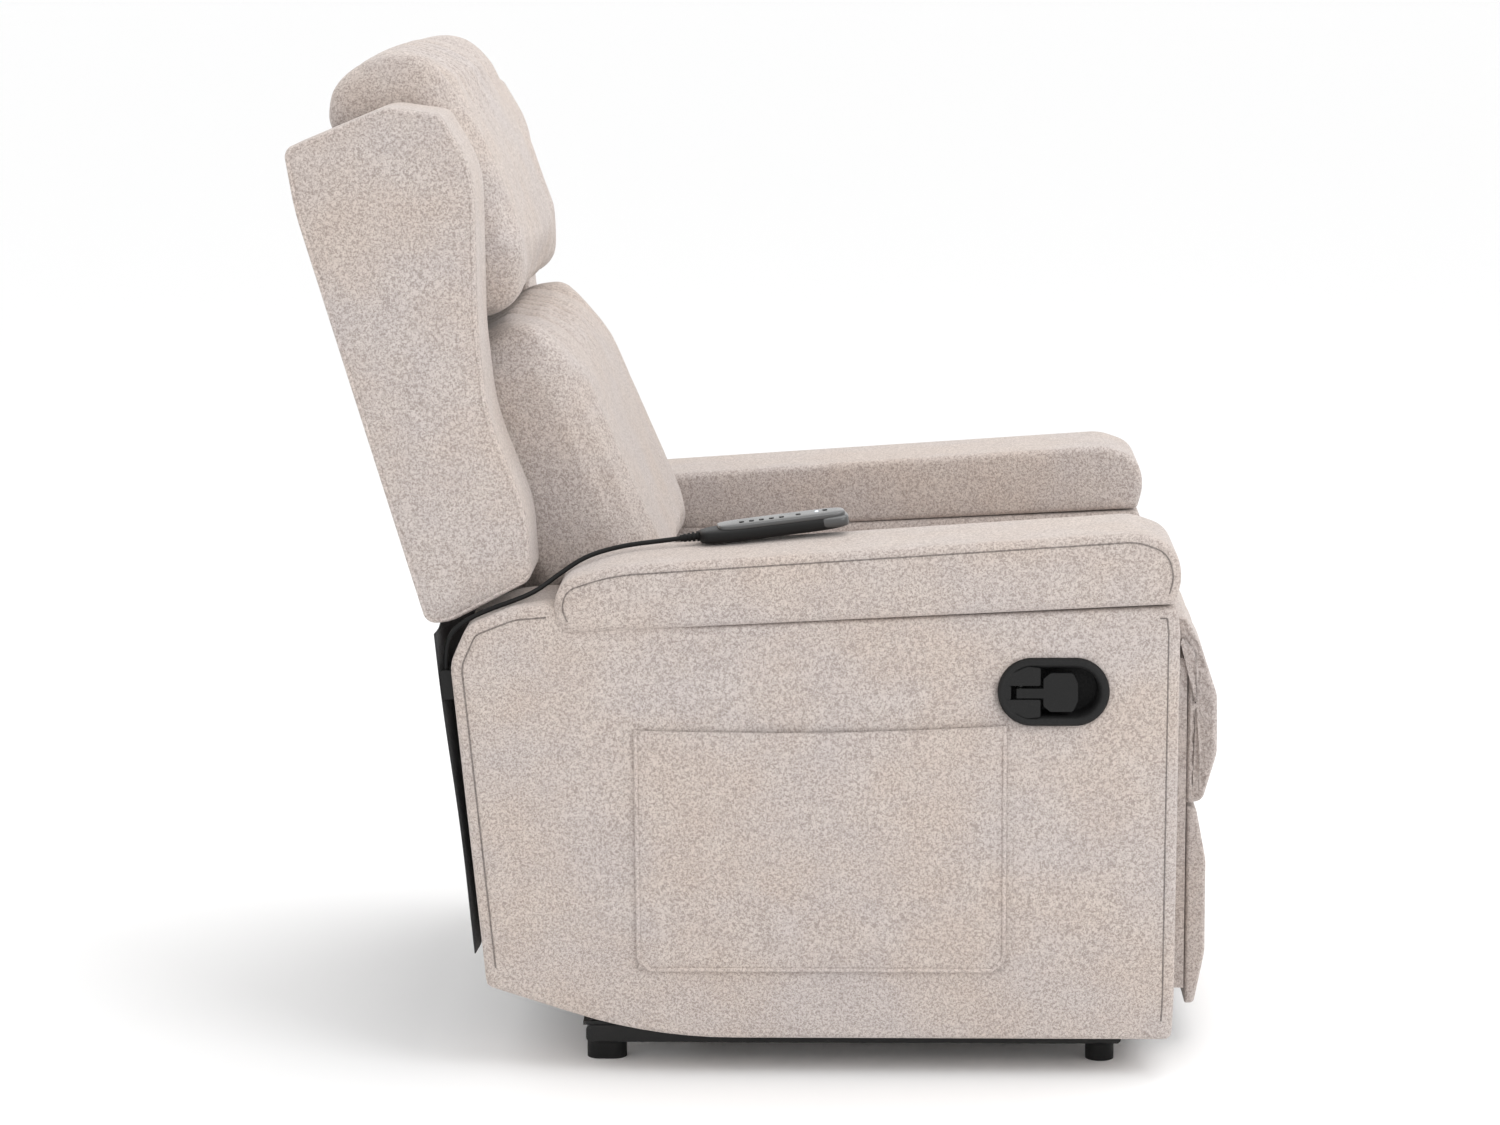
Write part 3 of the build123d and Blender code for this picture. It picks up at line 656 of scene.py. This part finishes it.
# %% Soft cushions
def swell(piece, cap, voxel=0.006, pressure=4.0):
    """Blows a padded form up a little with simulated cloth, and keeps each point within cap metres."""
    scene = bpy.context.scene
    bpy.context.view_layer.objects.active = piece
    remesh = piece.modifiers.new("remesh", "REMESH")
    remesh.mode, remesh.voxel_size, remesh.use_smooth_shade = "VOXEL", voxel, True
    bpy.ops.object.modifier_apply(modifier=remesh.name)
    start = np.zeros(len(piece.data.vertices) * 3)
    piece.data.vertices.foreach_get("co", start)
    cloth = piece.modifiers.new("cloth", "CLOTH")
    cloth.settings.quality = 4
    cloth.settings.mass = 0.4
    cloth.settings.use_pressure = True
    cloth.settings.uniform_pressure_force = pressure
    cloth.settings.effector_weights.gravity = 0
    cloth.settings.tension_stiffness = 12
    cloth.settings.bending_stiffness = 0.6
    cloth.collision_settings.use_collision = False
    for number in range(1, 13):
        scene.frame_set(number)
    shown = piece.evaluated_get(bpy.context.evaluated_depsgraph_get())
    end = np.zeros(len(start))
    shown.data.vertices.foreach_get("co", end)
    piece.modifiers.remove(cloth)
    move = (end - start).reshape(-1, 3)
    size = np.maximum(np.linalg.norm(move, axis=1, keepdims=True), 1e-9)
    move = move * np.minimum(1.0, cap / size)
    piece.data.vertices.foreach_set("co", (start.reshape(-1, 3) + move).ravel())
    piece.data.update()
    scene.frame_set(1)
    return piece


def wrinkle(piece, height):
    """Moves each point along its normal by a height worked out from all points at once."""
    count = len(piece.data.vertices)
    spots, normals = np.zeros(count * 3), np.zeros(count * 3)
    piece.data.vertices.foreach_get("co", spots)
    piece.data.vertices.foreach_get("normal", normals)
    spots, normals = spots.reshape(-1, 3), normals.reshape(-1, 3)
    piece.data.vertices.foreach_set("co", (spots + normals * height(spots)[:, None]).ravel())
    piece.data.update()
    return piece


def subdivided(piece, levels=1):
    """One more level of smooth subdivision, the same in view and in render."""
    extra = piece.modifiers.new("subdivision", "SUBSURF")
    extra.levels = extra.render_levels = levels
    bpy.context.view_layer.objects.active = piece
    bpy.ops.object.modifier_apply(modifier=extra.name)
    piece.data.shade_smooth()
    return piece


def bell(value, middle, width):
    """A smooth bump of height 1 at the middle, fading over the width."""
    return np.exp(-((value - middle) / width) ** 2)


def head_waves(spots):
    """Pleats that fan from the top seam: a wave across y whose pitch drifts with y, strongest at the top,
    and long faint stretch folds down the face."""
    x, y, z = spots.T
    top = bell(z, 1.045, 0.05)
    drift = y * 62 + 1.9 * np.sin(y * 17 + 0.6) + 4.5 * (x + 0.38)
    pleat = -(1 - np.abs(np.sin(drift))) ** 2 * top * 0.0115
    face = np.clip((x + 0.36) / 0.1, 0, 1) * 0.0012 * np.sin(y * 95 + 2.1 * np.sin(z * 23) + 9 * z)
    return pleat + face


def lumbar_waves(spots):
    """Gathers that leave the upper seam and fade down the face, with faint cross folds."""
    x, y, z = spots.T
    near = bell(z, 0.785, 0.055)
    gather = -(1 - np.abs(np.sin(y * 58 + 1.2 * np.sin(y * 21)))) ** 2 * near * 0.0090
    face = 0.0010 * np.sin(y * 70 + 8 * z) * np.clip((0.76 - z) / 0.2, 0, 1)
    return gather + face


head_corners = [
    (-451, 978, 24), (-447, 1021, 70), (-388, 1056, 90), (-340, 1053, 60), (-279, 932, 200),
    (-248, 842, 90), (-250, 799, 30), (-265, 785, 20), (-302, 774, 20), (-343, 774, 6), (-392, 925, 60),
]
lumbar_corners = [
    (-236, 471, 14), (-288, 560, 60), (-338, 746, 6), (-300, 749, 20), (-262, 770, 20), (-241, 776, 24),
    (-196, 727, 240), (-129, 572, 300), (-97, 496, 30), (-110, 472, 16),
]
for name, node, corners, waves in (
    ("head_pillow", "head_cushion", head_corners, head_waves),
    ("lumbar_pillow", "lumbar_cushion", lumbar_corners, lumbar_waves),
):
    low, high = span(node)
    rows = side_rows(low[1] + 0.002, high[1] - 0.002, 0.014, crown=0.0)
    cushion = grid_piece(name, carried(corners, 300, rows), poles=True, material=chenille_cloth)
    swell(cushion, 0.006)
    subdivided(cushion)
    wrinkle(cushion, waves)
    dress(cushion, "backrest", node, fill=0.6)

# %% [markdown]
# The rear of the backrest is one stretched panel over the board, slightly crowned.

# %% Back panel
shell_corners = [
    (-340, 490, 4), (-322, 496, 4), (-443, 890, 60), (-452, 955, 6), (-470, 950, 8), (-462, 895, 60),
]
shell_low, shell_high = span("back_shell")
shell_rows = side_rows(shell_low[1], shell_high[1], 0.003, crown=0.0)
back_panel = grid_piece(
    "back_panel", carried(shell_corners, 240, shell_rows), poles=True, material=chenille_cloth
)
dress(back_panel, "backrest", "back_shell", fill=0.3)

# %% [markdown]
# The seat is a crowned cushion. In front of it a soft roll hangs over the fold, sewn to the seat above
# and to the footrest below. The footrest's lower pad rides on its board.

# %% Seat, front roll and footrest pad
seat_corners = [
    (-118, 393, 10), (420, 393, 12), (428, 436, 26), (398, 462, 46), (-86, 452, 46), (-120, 425, 14),
]
seat_low, seat_high = span("seat_cushion")
seat_rows = side_rows(seat_low[1] + 0.001, seat_high[1] - 0.001, 0.014, crown=0.0)
seat = grid_piece("seat_pillow", carried(seat_corners, 300, seat_rows), poles=True, material=chenille_cloth)
wrinkle(seat, lambda s: 0.007 * np.cos(np.clip(s[:, 1] / 0.24, -1, 1) * 1.57) * (s[:, 2] > 0.44))
dress(seat, "body", "seat_cushion", fill=0.8)

roll_corners = [
    (433, 436, 4), (433, 462, 8), (446, 464, 12), (462, 434, 60), (480, 378, 40), (480, 316, 40),
    (465, 265, 10),
    (449, 262, 2), (449, 424, 4),
]


def roll_waves(spots):
    """Gathers on both end faces of the roll and shallow folds across its front."""
    x, y, z = spots.T
    ends = (np.abs(y) > 0.2370) * np.clip((0.474 - x) / 0.012, 0, 1)
    return -np.abs(np.sin(z * 150 + x * 60)) * ends * 0.0035 + 0.0008 * np.sin(y * 60 + 12 * z) * (ends == 0)


PAD_HALF_WIDTH = 0.2375  # of the front roll and the footrest's pad
roll_rows = side_rows(-PAD_HALF_WIDTH, PAD_HALF_WIDTH, 0.006, crown=0.0)
roll_grid = carried(roll_corners, 300, roll_rows)
front_roll = grid_piece("front_roll", roll_grid, poles=True, material=chenille_cloth)
wrinkle(front_roll, roll_waves)
dress(front_roll, None, "calf_pad", fill=0.7)
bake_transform(front_roll)

foot_corners = [
    (449, 43, 2), (459, 43, 8), (470, 100, 60), (470, 200, 60), (459, 257, 8), (449, 257, 2),
]
foot_rows = side_rows(-PAD_HALF_WIDTH, PAD_HALF_WIDTH, 0.004, crown=0.0)
foot_grid = carried(foot_corners, 260, foot_rows)
foot_pad = grid_piece("footrest_cover", foot_grid, poles=True, material=chenille_cloth)
dress(foot_pad, "footrest", "footrest_pad", fill=0.7)

# %% [markdown]
# The pocket is a single layer of cloth sewn down on three sides. Its mouth stands open a little, has a
# turned hem, and the sewn edges are piped.

# %% Side pocket
POCKET = {"rear": -0.126, "front": 0.252, "low": 0.117, "high": 0.370}
across = np.linspace(0, 1, 90)[None, :]
up = np.linspace(0, 1, 64)[:, None]
mouth = POCKET["high"] + 0.005 * across - 0.004 * np.sin(math.pi * across)
pocket_x = POCKET["rear"] + (POCKET["front"] - POCKET["rear"]) * across + 0 * up
pocket_z = POCKET["low"] + (mouth - POCKET["low"]) * up
belly = np.sin(math.pi * across) ** 0.5 * np.clip(up * 1.6, 0, 1) ** 0.8
POCKET_Y = -0.3747  # the plane the pocket's edges are sewn to
pocket_ripple = 0.0006 * np.sin(across * 31 + up * 9) * belly
pocket_y = POCKET_Y - 0.0030 * belly - pocket_ripple - 0.0006 * (up > 0.925)
pocket = grid_piece(
    "side_pocket_cloth", np.stack([pocket_x, pocket_y, pocket_z], axis=-1), wrap_u=False, material=chenille_cloth
)
skin = pocket.modifiers.new("thickness", "SOLIDIFY")
skin.thickness, skin.offset = 0.0012, 0
dress(pocket, "body", "side_pocket")
corners = np.array([
    (POCKET["rear"], POCKET["high"]), (POCKET["rear"] + 0.001, POCKET["low"] + 0.012),
    (POCKET["rear"] + 0.012, POCKET["low"]), (POCKET["front"] - 0.012, POCKET["low"]),
    (POCKET["front"], POCKET["low"] + 0.012), (POCKET["front"], POCKET["high"] + 0.005),
])
reach = np.concatenate([[0], np.cumsum(np.linalg.norm(np.diff(corners, axis=0), axis=1))])
steps = np.linspace(0, reach[-1], 220)
welt_path = np.stack([
    np.interp(steps, reach, corners[:, 0]), np.full(220, -0.3752), np.interp(steps, reach, corners[:, 1])
], axis=1)
# The pocket piping takes the lighter copy of the cloth: painted highlight.
dress(tube("pocket_piping", welt_path, 0.0022, piping_highlight_cloth), "body")

# %% [markdown]
# The latch rim is moulded plastic: a rounded ring round a deep tub. Rows of one stadium run from the
# tub's floor up its wall, over the ring's crest and down to the cloth.

# %% Latch rim
rim = [
    (0.030, -0.3495), (0.044, -0.3495), (0.0455, -0.351), (0.0460, -0.366), (0.0468, -0.3735),
    (0.0485, -0.3772), (0.0505, -0.3788), (0.0525, -0.3792), (0.0545, -0.3786), (0.0562, -0.3768),
    (0.0570, -0.3745), (0.0570, -0.3722), (0.0490, -0.3722), (0.0490, -0.3455), (0.030, -0.3455),
]
straight = 0.0215
angle = np.linspace(0, 2 * math.pi, 160, endpoint=False)
rim_rows = []
for reach_x, y in rim:
    half = reach_x - straight
    ring = resample(np.stack([
        np.cos(angle) * half + np.sign(np.cos(angle)) * straight, np.sin(angle) * half
    ], axis=1), 160)
    rim_rows.append(np.stack([LATCH[0] + ring[:, 0], np.full(160, y), LATCH[1] + ring[:, 1]], axis=1))
latch_rim = grid_piece("latch_rim", np.array(rim_rows), poles=True, material=grained_plastic)
dress(latch_rim, "body", "latch_bezel", slot="black_plastic")

# %% [markdown]
# A flat plate closes the rear half of the tub, with a slot that lets the paddle's stem swing through.
# A grid that shrinks to a pole fills any hollow in its outline, so the plate is three convex leaves.

# %% Latch plate
plate_leaves = {
    "upper": [(288, 436, 1), (288, 417.5, 0.5), (248.5, 417.5, 0.5), (254, 428, 12), (274, 437.5, 12)],
    "lower": [(288, 403, 0.5), (288, 385, 1), (274, 383.5, 12), (254, 393, 12), (248.5, 403, 0.5)],
    "rear": [(258, 403, 0.5), (248.5, 403, 0.5), (248.5, 417.5, 0.5), (258, 417.5, 0.5)],
}
plate_rows = side_rows(-0.3785, -0.3766, 0.0004, crown=0.0)
for leaf, plate_corners in plate_leaves.items():
    plate = grid_piece(
        "latch_plate_" + leaf, carried(plate_corners, 90, plate_rows), poles=True, material=grained_plastic
    )
    dress(plate, "body", slot="black_plastic")

# %% [markdown]
# The hand control is a low oblong shell: black below, with a glossy grey cover curved over its top and a
# smoky cap on its front end. Every section across it is a squashed circle whose width, height and
# middle follow the length.


# %% Hand control
def laid(points):
    """Points drawn flat in millimetres, turned a little in plan and set down on the sloping arm pad."""
    slope, turn = math.atan(34.0 / 535.0) + math.radians(2.4), math.radians(8.0)
    lift = 554.0
    x = points[..., 0] * math.cos(turn) - points[..., 1] * math.sin(turn)
    y = points[..., 0] * math.sin(turn) + points[..., 1] * math.cos(turn)
    z = points[..., 2]
    spots = [14.0 + x * math.cos(slope) - z * math.sin(slope), y - 262.0,
             lift + x * math.sin(slope) + z * math.cos(slope)]
    return np.stack(spots, axis=-1) / 1000


def pebble(name, length, width, low, high, power, start, material, count=60):
    """A long rounded form: half-width and half-height fall off near each end as a high-power ellipse,
    and each section is a superellipse between the low and high faces."""
    along = np.sin(np.linspace(-math.pi / 2, math.pi / 2, count))
    fade = (1 - np.abs(along) ** power) ** (1 / power)
    turn = np.linspace(0, 2 * math.pi, 48, endpoint=False)
    cos, sin = np.cos(turn), np.sin(turn)
    round_y = np.sign(cos) * np.abs(cos) ** 0.55
    round_z = np.sign(sin) * np.abs(sin) ** 0.6
    middle, half = (low + high) / 2, (high - low) / 2
    x = np.broadcast_to(start + length * (along[:, None] + 1) / 2, (count, 48))
    y = width / 2 * fade[:, None] * round_y[None]
    z = middle + half * np.maximum(fade[:, None], 0.25) ** 0.6 * round_z[None]
    return grid_piece(name, laid(np.stack([x, y, z], axis=-1)), poles=True, material=material)


shell = pebble("handset_shell", 156, 50, 0.2, 16.0, 4.5, -78, black_plastic)
dress(shell, "body", "handset_body", slot="black_plastic")
cover = pebble("handset_top", 134, 44, 11.0, 19.4, 5.0, -58, grey_gloss)
dress(cover, "body", "handset_cover", slot="grey_gloss")
lamp_points = np.array([
    [
        (47 + r * math.cos(t), -1 + r * math.sin(t), 19.2 + h)
        for t in np.linspace(0, 2 * math.pi, 20, endpoint=False)
    ]
    for r, h in ((2.0, 0.0), (1.8, 0.5), (1.0, 0.75))
])
glow = Shader("lamp_lens")
lens = glow.finish(
    Base_Color=(0.75, 0.85, 0.95, 1), Roughness=0.2, Emission_Color=(0.75, 0.87, 1, 1), Emission_Strength=1.2,
)
lamp_dot = grid_piece("handset_lamp", laid(lamp_points), poles=True, material=lens)
dress(lamp_dot, "body", slot="grey_gloss")
cap = pebble("handset_end_cap", 34, 50.6, 2.0, 15.6, 4.0, 45.0, grey_gloss)
dress(cap, "body", slot="grey_gloss")

# %% [markdown]
# A dark cloth closes the rear of the body and reaches up to the backrest, as one sheet.

# %% Rear cloth
wide = np.linspace(-1, 1, 80)[None, :]
tall = np.linspace(0, 1, 60)[:, None]
cloth_z = 0.130 + 0.338 * tall + 0 * wide
edge_x = -0.2875 - 0.037 * (cloth_z - 0.097) / 0.393
cloth_x = edge_x - 0.0045 - 0.005 * tall - 0.0010 * np.sin(wide * 23 + tall * 7)
cloth_y = 0.362 * wide + 0 * tall
rear_cloth = grid_piece(
    "rear_cloth", np.stack([cloth_x + 0 * wide, cloth_y, cloth_z], axis=-1), wrap_u=False, material=dark_cloth
)
skin = rear_cloth.modifiers.new("thickness", "SOLIDIFY")
skin.thickness, skin.offset = 0.0012, 0
dress(rear_cloth, None, "rear_cover", slot="dark_cloth")
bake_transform(rear_cloth)

# %% [markdown]
# A pale floor, a bright surround and three broad soft lights, as in a plain studio.

# %% Floor and light
floor_mesh = bpy.data.meshes.new("floor")
floor_mesh.from_pydata([(-60, -20, 0), (60, -20, 0), (60, 120, 0), (-60, 120, 0)], [], [(0, 1, 2, 3)])
floor = bpy.data.objects.new("floor", floor_mesh)
bpy.context.scene.collection.objects.link(floor)
pale = Shader("pale_floor")
floor_mesh.materials.append(pale.finish(Base_Color=grey(0.97), Roughness=0.7))

world = bpy.data.worlds.new("surround")
world.use_nodes = True
world.node_tree.nodes["Background"].inputs[0].default_value = (1, 1, 1, 1)
world.node_tree.nodes["Background"].inputs[1].default_value = 1.02
bpy.context.scene.world = world
bpy.context.scene.view_settings.view_transform = "Standard"


def soft_light(name, place, aim, size, power):
    """A square area light at a place, turned to face a point."""
    data = bpy.data.lights.new(name, "AREA")
    data.energy, data.size = power, size
    lamp = bpy.data.objects.new(name, data)
    bpy.context.scene.collection.objects.link(lamp)
    direction = np.array(aim) - np.array(place)
    lamp.rotation_euler = Vector(direction).to_track_quat("-Z", "Y").to_euler()
    lamp.location = place


soft_light("key", (2.4, -2.2, 2.9), (0, 0, 0.5), 1.8, 45)
soft_light("fill", (-2.2, -3.2, 1.8), (0, 0, 0.5), 2.0, 12)
soft_light("top", (0.6, 0.6, 3.2), (0, 0, 0.5), 2.2, 30)
print("floor and lights set")
